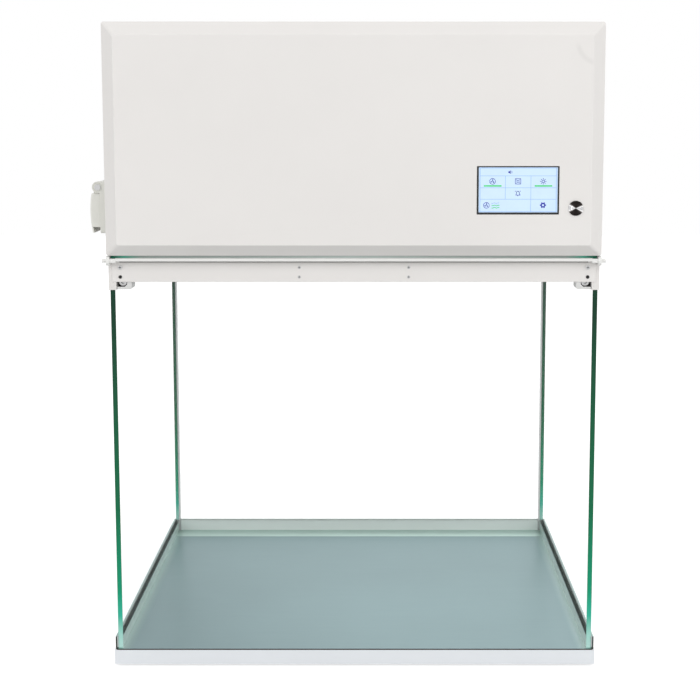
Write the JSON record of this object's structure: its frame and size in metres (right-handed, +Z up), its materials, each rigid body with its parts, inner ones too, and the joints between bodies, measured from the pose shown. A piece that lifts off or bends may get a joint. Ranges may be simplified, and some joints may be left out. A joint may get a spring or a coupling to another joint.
{
  "type": "laminar flow hood",
  "caption": "Bench-top vertical laminar flow hood with glass walls, steel worktop, sliding front sash, touch display and covered side socket.",
  "frame": {"origin": "on the plane that the feet stand on, under the middle of the base board", "axes": "+Z up, -Y towards the user at the open front, +X to the user's right"},
  "size_m": [0.6277, 0.5368, 0.797],
  "materials": {
    "board_laminate": "satin white laminate",
    "foot_rubber": "matte",
    "tray_steel": "brushed stainless steel",
    "wall_glass": "clear float glass",
    "sash_clear": "clear float glass",
    "seal_silicone": "matte",
    "white_paint": "satin powder coat",
    "rail_paint": "satin powder coat",
    "screw_steel": "bright zinc",
    "screw_black": "black oxide",
    "holder_plastic": "satin moulded",
    "lamp_glass": "phosphor-coated tube",
    "filter_paper": "pleated paper",
    "filter_aluminium": "mill finish",
    "mat_fleece": "fleece",
    "fan_sheet": "galvanised look",
    "motor_black": "matte black",
    "stator_metal": "cast",
    "circuit_board": "solder mask",
    "supply_case": "perforated case",
    "display_frame": "gloss",
    "display_face": "lit touch screen",
    "button_metal": "spun bright metal",
    "socket_plastic": "satin moulded",
    "socket_insert_plastic": "satin moulded",
    "contact_brass": "plain",
    "inlet_plastic": "moulded black",
    "sash_plastic": "satin moulded"
  },
  "bodies": {
    "cabinet": {"rubber_feet": "foot_rubber", "base_board": "board_laminate", "worktop_tray": "tray_steel", "glass_gasket": "seal_silicone", "left_glass": "wall_glass", "right_glass": "wall_glass", "rear_glass": "wall_glass", "corner_seals": "seal_silicone", "left_side_rail": "rail_paint", "right_side_rail": "rail_paint", "rear_rail": "rail_paint", "front_fascia_bar": "white_paint", "fascia_brackets": "white_paint", "fascia_screws": "screw_steel", "fascia_socket_screws": "screw_black", "left_lamp_holders": "holder_plastic", "right_lamp_holders": "holder_plastic", "lamp_holder_screws": "screw_steel", "left_lamp_tube": "lamp_glass", "right_lamp_tube": "lamp_glass", "housing_shell": "white_paint", "top_panel": "white_paint", "top_panel_screws": "screw_steel", "front_cover": "white_paint", "cover_screws": "screw_steel", "intake_grille": "white_paint", "prefilter_mat": "mat_fleece", "fan_inlet_ring": "fan_sheet", "motor_stator": "stator_metal", "fan_bracket": "fan_sheet", "filter_gasket": "seal_silicone", "filter_frame": "filter_aluminium", "filter_pleats": "filter_paper", "diffuser_plate": "white_paint", "control_board": "circuit_board", "board_standoffs": "screw_steel", "power_supply": "supply_case", "lamp_ballast": "white_paint", "display_bezel": "display_frame", "display_screen": "display_face", "display_board": "circuit_board", "button_body": "button_metal", "button_nut": "screw_steel", "socket_frame": "socket_plastic", "socket_insert": "socket_insert_plastic", "earth_clips": "contact_brass", "socket_hinge_pin": "screw_steel", "power_inlet": "inlet_plastic", "inlet_pins": "contact_brass", "left_sash_guide": "fan_sheet", "right_sash_guide": "fan_sheet"},
    "sash": {"sash_glass": "sash_clear", "sash_rail": "sash_plastic", "left_sash_end_cap": "sash_plastic", "right_sash_end_cap": "sash_plastic"},
    "socket_cover": {"socket_lid": "socket_plastic"},
    "push_button": {"button_cap": "button_metal"},
    "fan_wheel": {"impeller": "fan_sheet", "motor_rotor": "motor_black"}
  },
  "joints": [
    {"name": "sash_slide", "type": "slide", "parent": "cabinet", "child": "sash", "axis": [0, 0, -1], "range_m": [0, 0.23]},
    {"name": "socket_lid_hinge", "type": "hinge", "parent": "cabinet", "child": "socket_cover", "pos_m": [-0.3142, -0.192, 0.5973], "axis": [0, 1, 0], "range_deg": [0, 105], "stiffness_Nm_per_rad": 0.01},
    {"name": "button_press", "type": "slide", "parent": "cabinet", "child": "push_button", "axis": [0, 1, 0], "range_m": [0, 0.0015], "stiffness_N_per_m": 1200},
    {"name": "impeller_spin", "type": "hinge", "parent": "cabinet", "child": "fan_wheel", "pos_m": [0, 0.01, 0.72], "axis": [0, 0, 1], "continuous": true}
  ]
}
